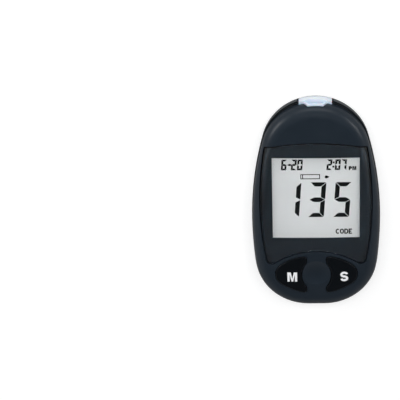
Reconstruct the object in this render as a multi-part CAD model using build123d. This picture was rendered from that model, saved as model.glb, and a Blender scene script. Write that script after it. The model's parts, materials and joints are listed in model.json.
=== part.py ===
from build123d import *
import math
import os

# A hand-held blood glucose meter, lying on its back.
# Millimetres. +X is the right-hand side, +Y the test strip end, +Z out of the display.
# The origin is in the middle of the footprint, on the surface that the feet stand on.

# ---------------------------------------------------------------- driving dimensions
# Outline of the housing, seen from above: five tangent arcs and a short flat end
body_length = 108.0
body_width = 62.0
widest_y = -7.9
upper_side_radius = 159.0
lower_side_radius = 211.0
lower_corner_radius = 25.9

# Heights
foot_height = 0.6
parting_z = 9.5
crown_top_z = 20.0
crown_radius = 500.0

# Housing
wall = 1.8
front_plate = 2.85
front_edge_radius = 6.5
back_edge_radius = 7.0
cover_reveal = 0.4
cover_setback = 1.2
ledge_groove_rim = 0.7
ledge_groove_depth = 1.3
tongue_inset = 1.1
tongue_height = 1.2
tongue_clearance = 0.1
seat_gap = 0.05
sink_in_plate = 0.6

# Display lens and the print behind it: insets from the side, and distances from the nearer end
lens_side_inset = 4.4
lens_widest_y = 3.0
lens_top_from_end = 19.8
lens_top_corner_inset = 6.9
lens_top_corner_from_end = 22.4
lens_bottom_corner_inset = 8.0
lens_bottom_corner_from_end = 23.4
lens_arch_from_end = 32.1
lens_top_corner_radius = 1.2
lens_bottom_corner_radius = 2.2
lens_gap = 0.6
lens_recess = 0.3
lens_thickness = 1.1
lens_edge_radius = 0.4
mask_thickness = 0.2

# Display window as borders of the lens, and the glass sandwich under it, which sits a little lower
window_side_border = 5.7
window_top_border = 7.4
window_bottom_border = 6.9
window_clearance = 0.8
glass_drop = 0.7
glass_margin = 1.7
gasket_width = 0.8
contact_ledge = 2.4
glass_thickness = 1.0
film_thickness = 0.2
glass_plate_gap = 0.8
frame_wall = 1.1
frame_clearance = 0.1
frame_shelf = 1.6
frame_below_glass = 1.7
elastomer_width = 1.8
elastomer_end_gap = 2.0

# Left key, whose mirror image is the right key. Heights in the outline are from the keys' centre line.
key_centre_from_end = 18.7
key_centre_inset = 18.6
# Points at a distance from the middle of the housing, and height
key_top_corner = (4.8, 10.4)
key_inner_top = (4.9, 6.9)
key_inner_edge = (7.3, 0.2)
key_inner_low = (4.9, -6.6)
key_bottom_corner = (4.7, -9.9)
# Points at an inset from the side of the housing, and height
key_upper_edge = (18.0, 8.4)
key_tip = (8.7, 0.0)
key_lower_edge = (18.0, -7.1)
key_tip_radius = 6.5
key_corner_radius = 1.4
key_inner_radius = 2.5
key_gap = 0.3
key_proud = 0.5
key_edge_radius = 0.45
key_flange = 0.9
key_flange_thickness = 1.0
key_flange_drop = 0.5
key_plunger_radius = 2.4
key_plunger_length = 1.2

# Silicone keypad
mat_thickness = 0.8
mat_length = 16.4
mat_side_margin = 7.6
dome_gap = 0.1
dome_base_radius = 4.4
dome_top_radius = 2.7
dome_wall = 0.6
dome_hole_clearance = 0.1

# Round dish between the keys
dish_radius = 6.6
dish_depth = 1.1

# Test strip port and connector
strip_width = 7.0
strip_thickness = 0.5
strip_slot_clearance = 0.2
strip_z = 10.15
port_half_width = 7.9
port_side_gap = 0.7
port_fit_gap = 0.15
port_low_z = 5.6
port_wing_z = 10.4
port_lobe_z = 13.9
port_lobe_wide = 5.6
port_lobe_narrow = 3.7
port_corner_radius = 0.6
port_proud = 0.4
port_rim = 0.8
port_funnel_flare = 0.5
port_funnel_depth = 1.8
port_depth = 2.3
port_flange_width = 19.2
port_flange_depth = 2.9
port_flange_z = 12.0
connector_width = 13.0
connector_length = 10.6
connector_height = 3.6
connector_gap = 0.2
contact_count = 5
contact_pitch = 1.2
contact_width = 0.6
contact_sheet = 0.2

# Main board
board_bottom_z = 7.8
board_thickness = 1.2
board_clearance = 1.0
board_hole_clearance = 0.2

# Screws: case screws enter from the back, board screws from under the board
upper_screw_inset = 16.5
upper_screw_from_end = 17.5
lower_screw_inset = 9.7
lower_screw_from_end = 31.0
case_screw_radius = 1.1
case_screw_head_radius = 2.0
case_screw_head_height = 1.3
case_screw_seat_z = 3.1
case_screw_bite = 5.5
head_clearance = 0.2
boss_radius = 3.0
spigot_radius = 2.3
board_screw_from_frame = 2.9
board_screw_radius = 0.7
board_screw_head_radius = 1.5
board_screw_head_height = 0.9
board_screw_bite = 3.4
standoff_radius = 1.9
pilot_clearance = 0.05
shank_clearance = 0.2
recess_width = 0.5
recess_depth = 0.7

# Coin cell, its bay and its door
cell_radius = 10.0
cell_thickness = 3.2
cell_frame_overhang = 0.6
cell_bottom_z = 2.9
cell_cap_radius = 8.6
cell_cap_height = 0.35
cell_shoulder = 0.6
holder_clearance = 0.2
holder_wall = 1.2
holder_bottom_z = 3.4
holder_roof = 0.9
contact_strip = 0.3
door_width = 24.8
door_gap = 0.3
door_thickness = 1.4
door_reach = 14.4
door_hinge_reach = 12.8
door_barrel_radius = 1.2
door_pin_radius = 0.6
door_pin_length = 1.2
door_pin_clearance = 0.06
door_ledge = 0.9
door_ledge_gap = 0.1
door_ledge_thickness = 0.9
bay_wall = 1.2
bay_wall_z = 4.6
door_rib_height = 0.6
door_rib_length = 12.0
door_rib_offset = 5.0
door_rib_width = 1.0
latch_width = 8.0
latch_height = 2.2
latch_thickness = 0.9
finger_scoop_width = 10.0
finger_scoop_radius = 5.0
finger_scoop_depth = 0.9
grip_count = 4
grip_pitch = 1.8
grip_width = 0.8
grip_depth = 0.35
grip_length = 12.0

# Back face details
upper_foot_inset = 22.0
upper_foot_from_end = 13.0
lower_foot_inset = 16.4
lower_foot_from_end = 14.0
foot_radius = 2.7
foot_pocket_depth = 0.5
foot_clearance = 0.1
label_foot_gap = 0.9
label_length = 12.0
label_from_end = 19.0
label_corner_radius = 1.5
label_recess = 0.3
label_thickness = 0.2
label_clearance = 0.2
sound_hole_radius = 0.6

# Parts on the board
buzzer_radius = 5.0
buzzer_height = 2.4
buzzer_x = 9.0
buzzer_from_end = 26.0
processor_size = (12.0, 12.0, 1.6)
processor_at = (9.0, 8.0)
measuring_chip_size = (6.4, 5.4, 1.4)
measuring_chip_at = (-9.0, 17.0)
memory_chip_size = (5.2, 4.2, 1.5)
memory_chip_at = (-10.0, 2.0)
crystal_radius = 1.0
crystal_length = 6.0
crystal_at = (9.0, -6.0)
capacitor_size = (2.0, 1.3, 1.2)
capacitor_pitch = 3.2
capacitor_count = 5
capacitor_row_at = (-10.0, -8.0)
chip_chamfer = 0.3

# Data jack at the lower end
jack_bore_radius = 1.3
jack_bore_length = 10.0
jack_axis_height = 2.6
jack_nose_radius = 1.8
jack_hole_clearance = 0.15
jack_nose_setback = 1.0
jack_body_setback = 2.6
jack_body_width = 6.0
jack_body_length = 11.0
jack_body_height = 4.8
jack_pin_spacing = 3.0
jack_pin_width = 0.8

# ---------------------------------------------------------------- derived positions
half_length = body_length / 2
half_width = body_width / 2
upper_end_y = half_length
lower_end_y = -half_length
inner_floor_z = foot_height + wall
board_top_z = board_bottom_z + board_thickness
board_inset = wall + board_clearance
lens_bottom_depth = lens_recess + lens_thickness
mask_depth = lens_bottom_depth + seat_gap
lens_floor_depth = mask_depth + mask_thickness + seat_gap
lens_half_width = half_width - lens_side_inset
lens_top_y = upper_end_y - lens_top_from_end
lens_top_corner = (half_width - lens_top_corner_inset, upper_end_y - lens_top_corner_from_end)
lens_bottom_corner = (half_width - lens_bottom_corner_inset, lower_end_y + lens_bottom_corner_from_end)
lens_arch_y = lower_end_y + lens_arch_from_end
window_width = 2 * (lens_half_width - window_side_border)
window_top_y = lens_top_y - window_top_border
window_bottom_y = lens_arch_y + window_bottom_border
window_length = window_top_y - window_bottom_y
window_centre_y = (window_top_y + window_bottom_y) / 2
glass_centre_y = window_centre_y - glass_drop
glass_width = window_width + 2 * glass_margin
glass_length = window_length + 2 * (glass_margin + contact_ledge / 2)
glass_reach = math.hypot(glass_width / 2, abs(glass_centre_y) + glass_length / 2)
glass_top_z = crown_top_z - glass_reach ** 2 / (2 * crown_radius) - front_plate - glass_plate_gap
frame_top_z = glass_top_z - frame_below_glass
rear_glass_top_z = glass_top_z - film_thickness - glass_thickness
reflector_top_z = rear_glass_top_z - glass_thickness
reflector_bottom_z = reflector_top_z - film_thickness
rear_glass_length = glass_length - 2 * contact_ledge
polariser_width = glass_width - 2 * gasket_width
polariser_length = window_length + 2 * (glass_margin - gasket_width)
frame_end_run = glass_length / 2 + frame_clearance + frame_wall
frame_high_y = glass_centre_y + frame_end_run
frame_low_y = glass_centre_y - frame_end_run
key_centre_y = lower_end_y + key_centre_from_end
key_centre = (key_centre_inset - half_width, key_centre_y)
mat_width = 2 * (mat_side_margin - key_centre[0])
key_end_y = key_centre_y + key_bottom_corner[1]
key_flange_top_z = crown_top_z - key_end_y ** 2 / (2 * crown_radius) - front_plate - key_flange_drop
key_flange_bottom_z = key_flange_top_z - key_flange_thickness
key_plunger_z = key_flange_bottom_z - key_plunger_length
mat_top_z = board_top_z + mat_thickness
dome_top_z = key_plunger_z - dome_gap
cell_top_z = cell_bottom_z + cell_thickness
holder_inner_radius = cell_radius + holder_clearance
holder_outer_radius = holder_inner_radius + holder_wall
cell_centre_y = frame_low_y + holder_outer_radius - cell_frame_overhang
door_far_y = cell_centre_y - door_reach
hinge_y = cell_centre_y + door_hinge_reach
hinge_z = foot_height + door_barrel_radius
door_top_z = foot_height + door_thickness
bay_low_y = door_far_y - door_gap
bay_high_y = hinge_y + door_barrel_radius + door_gap
bay_width = door_width + 2 * door_gap
case_screw_sites = (
    (half_width - upper_screw_inset, upper_end_y - upper_screw_from_end),
    (half_width - lower_screw_inset, lower_end_y + lower_screw_from_end),
)
holder_low_y = cell_centre_y - holder_outer_radius
board_screw_sites = (
    (0.0, frame_high_y + board_screw_from_frame),
    (0.0, holder_low_y - board_screw_from_frame),
)
foot_sites = (
    (half_width - upper_foot_inset, upper_end_y - upper_foot_from_end),
    (half_width - lower_foot_inset, lower_end_y + lower_foot_from_end),
)
label_centre_y = lower_end_y + label_from_end
label_width = 2 * (half_width - lower_foot_inset - foot_radius - label_foot_gap)
buzzer_at = (buzzer_x, upper_end_y - buzzer_from_end)
jack_axis_z = board_top_z + jack_axis_height
jack_mouth_y = lower_end_y + jack_nose_setback
jack_front_y = lower_end_y + wall + jack_body_setback
jack_back_y = jack_front_y + jack_body_length
cover_end_y = upper_end_y - cover_setback - cover_reveal
port_back_y = cover_end_y - port_depth
connector_end_y = port_back_y - port_flange_depth - connector_gap
connector_centre_y = connector_end_y - connector_length / 2
strip_slot_width = strip_width + 2 * strip_slot_clearance
strip_slot_height = strip_thickness + 2 * strip_slot_clearance
above = crown_top_z + 5.0


# ---------------------------------------------------------------- shared shapes
def outline_face(inset=0.0, setback=0.0):
    """The housing's outline, moved inwards by inset; setback pulls in its strip end alone."""
    top_y = half_length - setback
    rise = top_y - widest_y
    side_offset = upper_side_radius - half_width
    top_radius = (upper_side_radius ** 2 - side_offset ** 2 - rise ** 2) / (2 * (upper_side_radius - rise))
    top_centre = (0.0, top_y - top_radius)
    upper_centre = (-side_offset, widest_y)
    lower_centre = (half_width - lower_side_radius, widest_y)
    corner_y = lower_corner_radius - half_length
    corner_run = math.sqrt((lower_side_radius - lower_corner_radius) ** 2 - (widest_y - corner_y) ** 2)
    corner_centre = (lower_centre[0] + corner_run, corner_y)
    upper_angle = math.degrees(math.atan2(top_centre[1] - widest_y, side_offset))
    lower_angle = -math.degrees(math.atan2(widest_y - corner_y, corner_run))
    right = [
        CenterArc(top_centre, top_radius - inset, upper_angle, 90 - upper_angle),
        CenterArc(upper_centre, upper_side_radius - inset, 0, upper_angle),
        CenterArc(lower_centre, lower_side_radius - inset, lower_angle, -lower_angle),
        CenterArc(corner_centre, lower_corner_radius - inset, -90, 90 + lower_angle),
    ]
    left = [mirror(arc, about=Plane.YZ) for arc in right]
    end_y = inset - half_length
    end = Line((-corner_centre[0], end_y), (corner_centre[0], end_y))
    return make_face(right + left + [end])


def slab(face, low_z, high_z):
    return Pos(0, 0, low_z) * extrude(face, high_z - low_z)


def block(width, length, low_z, high_z, at=(0.0, 0.0), radius=0.0):
    face = Pos(*at) * (RectangleRounded(width, length, radius) if radius else Rectangle(width, length))
    return slab(face, low_z, high_z)


def disc(radius, low_z, high_z, at=(0.0, 0.0)):
    return slab(Pos(*at) * Circle(radius), low_z, high_z)


def crown(depth=0.0):
    """All that lies deeper than depth under the front's shallow crown."""
    return Pos(0, 0, crown_top_z - crown_radius) * Rot(90, 0, 0) * Sphere(crown_radius - depth)


def front_form(inset, depth, setback=cover_setback):
    """The crowned front with its rounded edge, as a closed body above the parting line."""
    form = slab(outline_face(inset, setback), parting_z, above) & crown(depth)
    top = form.faces().sort_by(Axis.Z)[-1]
    return fillet(top.edges(), front_edge_radius - inset)


def skin_form(depth):
    """The front's outer surface, moved inwards by depth all over."""
    return front_form(cover_reveal + depth, depth)


def cavity_form(clearance=0.0):
    """The space inside the front shell, less a clearance."""
    return front_form(wall + clearance, front_plate + clearance)


def back_form(inset, low_z, high_z, setback=0.0):
    """The back with its rounded edge, from low_z up to high_z."""
    form = slab(outline_face(inset, setback), low_z, high_z)
    bottom = form.faces().sort_by(Axis.Z)[0]
    return fillet(bottom.edges(), back_edge_radius - inset)


def both_sides(shape):
    return [shape, mirror(shape, about=Plane.YZ)]


def mirrored_sites(sites):
    """Each (x, y) and its mirror image across the middle."""
    return [(side * x, y) for x, y in sites for side in (1, -1)]


def rounded(face, corner, radius):
    """The face with its corner nearest to the point rounded."""
    return fillet(face.vertices().sort_by_distance(corner)[0], radius)


def lens_face():
    x_top, y_top = lens_top_corner
    x_low, y_low = lens_bottom_corner
    edges = [
        ThreePointArc((-x_top, y_top), (0, lens_top_y), (x_top, y_top)),
        ThreePointArc((x_top, y_top), (lens_half_width, lens_widest_y), (x_low, y_low)),
        ThreePointArc((x_low, y_low), (0, lens_arch_y), (-x_low, y_low)),
        ThreePointArc((-x_low, y_low), (-lens_half_width, lens_widest_y), (-x_top, y_top)),
    ]
    face = make_face(edges)
    for side in (1, -1):
        face = rounded(face, (side * x_top, y_top), lens_top_corner_radius)
        face = rounded(face, (side * x_low, y_low), lens_bottom_corner_radius)
    return face


def from_middle(point):
    return (-point[0], key_centre_y + point[1])


def from_side(point):
    return (point[0] - half_width, key_centre_y + point[1])


def key_face():
    """The left key: a crescent whose inner side goes round the dish."""
    top, bottom = from_middle(key_top_corner), from_middle(key_bottom_corner)
    inner_top, inner_low = from_middle(key_inner_top), from_middle(key_inner_low)
    tip = from_side(key_tip)
    edges = [
        ThreePointArc(top, from_side(key_upper_edge), tip),
        ThreePointArc(tip, from_side(key_lower_edge), bottom),
        Line(bottom, inner_low),
        ThreePointArc(inner_low, from_middle(key_inner_edge), inner_top),
        Line(inner_top, top),
    ]
    face = rounded(make_face(edges), tip, key_tip_radius)
    for corner in (top, bottom):
        face = rounded(face, corner, key_corner_radius)
    for corner in (inner_low, inner_top):
        face = rounded(face, corner, key_inner_radius)
    return face


def window_block(margin, low_z, high_z):
    return block(window_width + 2 * margin, window_length + 2 * margin, low_z, high_z, (0, window_centre_y))


def glass_block(width, length, low_z, high_z):
    return block(width, length, low_z, high_z, (0, glass_centre_y))


def ring(outer_face, inner_face, low_z, high_z):
    return slab(outer_face - inner_face, low_z, high_z)


def port_face(grow):
    """Front view of the port: low wings, and a lobe that narrows upwards."""
    wing = port_half_width + grow
    wide = port_lobe_wide + grow
    narrow = port_lobe_narrow + grow
    top_z = port_lobe_z + grow
    wing_z = port_wing_z + grow
    low_z = port_low_z - grow
    right = [(wing, low_z), (wing, wing_z), (wide, wing_z), (narrow, top_z)]
    left = [(-x, z) for x, z in reversed(right)]
    face = make_face(Plane.XZ * Polyline(*right, *left, close=True))
    return fillet(face.vertices(), port_corner_radius)


def inwards_from_end(face, depth):
    """The face, drawn in the XZ plane, run inwards from the strip end of the housing."""
    return Pos(0, half_length, 0) * extrude(face, depth, dir=(0, -1, 0))


# ---------------------------------------------------------------- housing
def make_front_shell():
    shell = front_form(cover_reveal, 0.0)
    shell -= slab(offset(lens_face(), amount=lens_gap), parting_z, above) - skin_form(lens_floor_depth)
    shell -= cavity_form()
    shell -= ring(outline_face(tongue_inset - tongue_clearance, cover_setback),
                  outline_face(wall + tongue_clearance, cover_setback),
                  parting_z, parting_z + tongue_height + tongue_clearance)

    for site in mirrored_sites(case_screw_sites):
        boss = disc(boss_radius, board_top_z, above, site)
        boss += disc(spigot_radius, board_bottom_z, board_top_z, site)
        shell += boss & crown(front_plate - sink_in_plate)
    for site in board_screw_sites:
        shell += disc(standoff_radius, board_top_z, above, site) & crown(front_plate - sink_in_plate)
    for site in mirrored_sites(case_screw_sites):
        pilot = case_screw_radius + pilot_clearance
        shell -= disc(pilot, board_bottom_z, board_bottom_z + case_screw_bite, site)
    for site in board_screw_sites:
        pilot = board_screw_radius + pilot_clearance
        shell -= disc(pilot, board_top_z, board_top_z + board_screw_bite, site)

    shell -= window_block(window_clearance, parting_z, above)
    for key_hole in both_sides(slab(offset(key_face(), amount=key_gap), parting_z, above)):
        shell -= key_hole
    ball_radius = (dish_radius ** 2 + dish_depth ** 2) / (2 * dish_depth)
    dish_z = crown_top_z - key_centre_y ** 2 / (2 * crown_radius)
    shell -= Pos(0, key_centre_y, dish_z - dish_depth + ball_radius) * Sphere(ball_radius)

    shell -= inwards_from_end(port_face(port_fit_gap), half_length - port_back_y)
    jack_hole = Cylinder(jack_nose_radius + jack_hole_clearance, 8 * wall, rotation=(90, 0, 0))
    return shell - Pos(0, -half_length, jack_axis_z) * jack_hole


def make_back_shell():
    shell = back_form(0.0, foot_height, parting_z)
    shell -= back_form(wall, inner_floor_z, above, cover_setback)
    tongue = ring(outline_face(tongue_inset, cover_setback), outline_face(wall, cover_setback),
                  parting_z - wall, parting_z + tongue_height)
    port_gap = 2 * (port_half_width + port_side_gap)
    port_run = 2 * (half_length - port_back_y) + wall
    tongue -= block(port_flange_width + wall, port_run, 0, above, (0, half_length))
    tongue -= block(2 * jack_nose_radius + wall, 4 * wall, 0, above, (0, -half_length))
    shell += tongue

    groove = ring(outline_face(ledge_groove_rim), outline_face(0.0, cover_setback),
                  parting_z - ledge_groove_depth, above)
    shell -= groove & block(body_width, half_length, 0, above, (0, half_length / 2))
    shell -= block(port_gap, port_run, port_low_z - port_fit_gap, above, (0, half_length))

    for site in mirrored_sites(case_screw_sites):
        shell += disc(boss_radius, foot_height + wall / 2, board_bottom_z, site)
    for site in mirrored_sites(case_screw_sites):
        shell -= disc(case_screw_radius + shank_clearance, foot_height, board_bottom_z, site)
        shell -= disc(case_screw_head_radius + head_clearance, foot_height, case_screw_seat_z, site)

    shell = cut_battery_bay(shell)
    for site in mirrored_sites(foot_sites):
        shell -= disc(foot_radius + foot_clearance, foot_height, foot_height + foot_pocket_depth, site)
    shell -= block(label_width + 2 * label_clearance, label_length + 2 * label_clearance, foot_height,
                   foot_height + label_recess, (0, label_centre_y), label_corner_radius + label_clearance)
    return shell - disc(sound_hole_radius, foot_height, inner_floor_z, buzzer_at)


def cut_battery_bay(shell):
    """Opens the floor for the door, and adds the bay's walls, hinge holes, ledges and finger scoop."""
    bay_length = bay_high_y - bay_low_y
    bay_y = (bay_high_y + bay_low_y) / 2
    shell += block(bay_width + 2 * bay_wall, bay_length + 2 * bay_wall, foot_height + wall / 2, bay_wall_z,
                   (0, bay_y))
    opening = block(bay_width, bay_length, foot_height, above, (0, bay_y))
    ledge_z = door_top_z + door_ledge_gap
    ledge_length = hinge_y - 2 * door_barrel_radius - door_far_y
    for ledge in both_sides(block(door_ledge, ledge_length, ledge_z, ledge_z + door_ledge_thickness,
                                  ((bay_width - door_ledge) / 2, door_far_y + ledge_length / 2))):
        opening -= ledge
    shell -= opening
    hinge_hole = Cylinder(door_pin_radius + door_pin_clearance, bay_width + 2 * bay_wall, rotation=(0, 90, 0))
    shell -= Pos(0, hinge_y, hinge_z) * hinge_hole
    scoop = Cylinder(finger_scoop_radius, finger_scoop_width, rotation=(0, 90, 0))
    shell -= Pos(0, bay_low_y, foot_height + finger_scoop_depth - finger_scoop_radius) * scoop
    return shell


def make_battery_door():
    plate_length = hinge_y - door_far_y
    door = block(door_width, plate_length, foot_height, door_top_z, (0, hinge_y - plate_length / 2))
    barrel = Cylinder(door_barrel_radius, door_width, rotation=(0, 90, 0))
    pins = Cylinder(door_pin_radius, door_width + 2 * door_pin_length, rotation=(0, 90, 0))
    door += Pos(0, hinge_y, hinge_z) * barrel
    door += Pos(0, hinge_y, hinge_z) * pins
    for rib in both_sides(block(door_rib_width, door_rib_length, door_top_z, door_top_z + door_rib_height,
                                (door_rib_offset, cell_centre_y))):
        door += rib
    door += block(latch_width, latch_thickness, door_top_z, door_top_z + latch_height,
                  (0, door_far_y + latch_thickness / 2))
    for index in range(grip_count):
        grip_y = door_far_y + (index + 1.5) * grip_pitch
        door -= block(grip_length, grip_width, foot_height, foot_height + grip_depth, (0, grip_y))
    return door


def make_screw(radius, head_radius, head_height, seat_z, tip_z, site):
    """A pan head under its seat, a shank up to its tip, and a cross recess."""
    screw = disc(head_radius, seat_z - head_height, seat_z, site)
    screw += disc(radius, seat_z, tip_z, site)
    for angle in (0, 90):
        slot = Rot(0, 0, angle) * Rectangle(1.3 * head_radius, recess_width)
        screw -= slab(Pos(*site) * slot, seat_z - head_height, seat_z - head_height + recess_depth)
    return screw


def make_case_screws():
    tip_z = board_bottom_z + case_screw_bite - pilot_clearance
    return [make_screw(case_screw_radius, case_screw_head_radius, case_screw_head_height,
                       case_screw_seat_z, tip_z, site) for site in mirrored_sites(case_screw_sites)]


def make_board_screws():
    tip_z = board_top_z + board_screw_bite - pilot_clearance
    return [make_screw(board_screw_radius, board_screw_head_radius, board_screw_head_height,
                       board_bottom_z, tip_z, site) for site in board_screw_sites]


def make_feet():
    edge = foot_clearance * 3
    feet = []
    for site in mirrored_sites(foot_sites):
        foot = disc(foot_radius, 0, foot_height + foot_pocket_depth, site)
        feet.append(chamfer(foot.faces().sort_by(Axis.Z)[0].edges(), edge))
    return feet


def make_label():
    low_z = foot_height + label_recess - label_thickness
    return block(label_width, label_length, low_z, foot_height + label_recess, (0, label_centre_y),
                 label_corner_radius)


# ---------------------------------------------------------------- lens and display
def make_display_lens():
    """A clear sheet that follows the cover's surface, with its rim rounded."""
    lens = slab(lens_face(), parting_z, above) & skin_form(lens_recess)
    walls = lens.faces().filter_by(lambda face: abs(face.normal_at().Z) < 0.01)
    tops = lens.faces().filter_by(lambda face: face.normal_at().Z > 0.1)
    lens = fillet(walls.edges() & tops.edges(), lens_edge_radius)
    return lens - skin_form(lens_bottom_depth)


def make_lens_mask():
    mask = slab(offset(lens_face(), amount=-lens_edge_radius), parting_z, above) & skin_form(mask_depth)
    mask -= skin_form(mask_depth + mask_thickness)
    return mask - window_block(0, parting_z, above)


def make_front_glass():
    return glass_block(glass_width, glass_length, rear_glass_top_z, rear_glass_top_z + glass_thickness)


def make_polariser():
    return glass_block(polariser_width, polariser_length, glass_top_z - film_thickness, glass_top_z)


def make_rear_glass():
    return glass_block(glass_width, rear_glass_length, reflector_top_z, rear_glass_top_z)


def make_reflector():
    return glass_block(glass_width, rear_glass_length, reflector_bottom_z, reflector_top_z)


def make_lcd_frame():
    pocket_width = glass_width + 2 * frame_clearance
    pocket_length = glass_length + 2 * frame_clearance
    frame = block(pocket_width + 2 * frame_wall, pocket_length + 2 * frame_wall, board_top_z, frame_top_z,
                  (0, glass_centre_y), frame_wall)
    frame -= glass_block(pocket_width, pocket_length, board_top_z, above)
    shelf_x = (pocket_width - frame_shelf) / 2
    for shelf in both_sides(block(frame_shelf, rear_glass_length, board_top_z, reflector_bottom_z,
                                  (shelf_x, glass_centre_y))):
        frame += shelf
    return frame


def make_elastomer(side):
    ledge_y = glass_centre_y + side * (glass_length - contact_ledge) / 2
    length = glass_width - 2 * elastomer_end_gap
    return block(length, elastomer_width, board_top_z, rear_glass_top_z, (0, ledge_y))


def make_gasket():
    """A foam ring on the glass, its upper side following the plate above it."""
    foam = glass_block(glass_width, polariser_length + 2 * gasket_width, glass_top_z - film_thickness, above)
    foam -= glass_block(polariser_width + seat_gap, polariser_length + seat_gap, 0, above)
    return foam & cavity_form(seat_gap)


# ---------------------------------------------------------------- keys
def make_memory_key():
    cap = slab(key_face(), key_flange_bottom_z, above) & crown(-key_proud)
    top = cap.faces().sort_by(Axis.Z)[-1]
    cap = fillet(top.edges(), key_edge_radius)
    cap += slab(offset(key_face(), amount=key_flange), key_flange_bottom_z, key_flange_top_z)
    return cap + disc(key_plunger_radius, key_plunger_z, key_flange_bottom_z, key_centre)


def make_memory_dome():
    """A hollow silicone cone that collapses under the key."""
    height = dome_top_z - board_top_z
    middle = board_top_z + height / 2
    dome = Pos(*key_centre, middle) * Cone(dome_base_radius, dome_top_radius, height)
    hollow_height = height - dome_wall
    hollow = Cone(dome_base_radius - dome_wall, dome_top_radius - dome_wall, hollow_height)
    return dome - Pos(*key_centre, board_top_z + hollow_height / 2) * hollow


def make_keypad_mat():
    mat = block(mat_width, mat_length, board_top_z, mat_top_z, (0, key_centre_y), dome_top_radius)
    for hole in both_sides(disc(dome_base_radius + dome_hole_clearance, board_top_z, mat_top_z, key_centre)):
        mat -= hole
    notch_width = jack_body_width + 2 * (jack_pin_width + mat_thickness)
    return mat - block(notch_width, 2 * jack_body_length, 0, above,
                       (0, jack_back_y + mat_thickness - jack_body_length))


# ---------------------------------------------------------------- test strip port
def make_strip_port():
    """Wings flush with the housing's end, a lobe proud of the cover, and a flange on the board."""
    depth = half_length - port_back_y
    whole = inwards_from_end(port_face(0.0), depth)
    port = whole & back_form(0.0, foot_height, port_wing_z)
    port += whole & front_form(cover_reveal, 0.0, cover_setback - port_proud)
    flange = block(port_flange_width, port_flange_depth, board_top_z, port_flange_z,
                   (0, port_back_y - port_flange_depth / 2))
    port += flange & cavity_form(seat_gap)

    floor_z = strip_z - strip_slot_height / 2
    wide = port_lobe_wide - port_rim
    narrow = port_lobe_narrow - port_rim
    roof_z = port_lobe_z - port_rim
    recess = Polyline((-wide, floor_z), (wide, floor_z), (wide, port_wing_z), (narrow, roof_z),
                      (-narrow, roof_z), (-wide, port_wing_z), close=True)
    port -= inwards_from_end(make_face(Plane.XZ * recess), port_funnel_depth)
    mouth = wide + port_funnel_flare
    back_y = half_length - port_funnel_depth
    funnel = Polyline((-mouth, half_length), (mouth, half_length), (wide, back_y), (-wide, back_y),
                      close=True)
    port -= slab(make_face(funnel), floor_z, port_wing_z)
    reach = half_length - connector_end_y
    return port - block(strip_slot_width, 2 * reach, floor_z, floor_z + strip_slot_height, (0, half_length))


def make_strip_connector():
    body = block(connector_width, connector_length, board_top_z, board_top_z + connector_height,
                 (0, connector_centre_y))
    floor_z = strip_z - strip_slot_height / 2
    body -= block(strip_slot_width, connector_length, floor_z, floor_z + strip_slot_height,
                  (0, connector_centre_y + contact_pitch))
    for x in contact_columns():
        body -= block(contact_width + seat_gap * 2, connector_length, floor_z + strip_slot_height,
                      floor_z + strip_slot_height + 2 * contact_sheet + seat_gap,
                      (x, connector_centre_y - contact_pitch))
    return body


def contact_columns():
    return [(index - (contact_count - 1) / 2) * contact_pitch for index in range(contact_count)]


def make_strip_contacts():
    """One spring leaf for each conductor, along the roof of the slot and down to the board behind."""
    leaf_z = strip_z + strip_slot_height / 2
    tail_y = connector_centre_y - connector_length / 2 - contact_sheet
    leaves = []
    for x in contact_columns():
        length = connector_length / 2 + contact_sheet
        leaf = block(contact_width, length, leaf_z + seat_gap, leaf_z + seat_gap + contact_sheet,
                     (x, tail_y + length / 2 - contact_sheet))
        tail = block(contact_width, contact_sheet, board_top_z, leaf_z + seat_gap + contact_sheet,
                     (x, tail_y - contact_sheet / 2))
        leaves.append(leaf + tail)
    return leaves


# ---------------------------------------------------------------- board and what it carries
def make_main_board():
    board = slab(outline_face(board_inset, cover_setback), board_bottom_z, board_top_z)
    for site in mirrored_sites(case_screw_sites):
        board -= disc(spigot_radius + board_hole_clearance, board_bottom_z, board_top_z, site)
    for site in board_screw_sites:
        board -= disc(board_screw_radius + pilot_clearance, board_bottom_z, board_top_z, site)
    return board


def make_chip(size, at):
    chip = block(size[0], size[1], board_top_z, board_top_z + size[2], at)
    return chamfer(chip.faces().sort_by(Axis.Z)[-1].edges(), chip_chamfer)


def make_crystal():
    can = Cylinder(crystal_radius, crystal_length, rotation=(0, 90, 0))
    return Pos(*crystal_at, board_top_z + crystal_radius) * can


def make_capacitors():
    width, length, height = capacitor_size
    x, y = capacitor_row_at
    return [block(width, length, board_top_z, board_top_z + height, (x + index * capacitor_pitch, y))
            for index in range(capacitor_count)]


def make_buzzer():
    low_z = board_bottom_z - buzzer_height
    buzzer = disc(buzzer_radius, low_z, board_bottom_z, buzzer_at)
    return buzzer - disc(sound_hole_radius, low_z, board_bottom_z - buzzer_height / 2, buzzer_at)


def make_data_jack():
    body = block(jack_body_width, jack_body_length, board_top_z, board_top_z + jack_body_height,
                 (0, (jack_front_y + jack_back_y) / 2))
    nose_length = jack_front_y - jack_mouth_y
    nose = Cylinder(jack_nose_radius, nose_length, rotation=(90, 0, 0))
    body += Pos(0, jack_mouth_y + nose_length / 2, jack_axis_z) * nose
    bore = Cylinder(jack_bore_radius, jack_bore_length, rotation=(90, 0, 0))
    return body - Pos(0, jack_mouth_y + jack_bore_length / 2, jack_axis_z) * bore


def make_jack_contacts():
    pin_x = (jack_body_width + jack_pin_width) / 2
    pins = []
    for pin_y in (jack_front_y + jack_pin_spacing, jack_back_y - jack_pin_spacing):
        pins += both_sides(block(jack_pin_width, jack_pin_width, board_top_z, board_top_z + jack_pin_width,
                                 (pin_x, pin_y)))
    return pins


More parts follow.
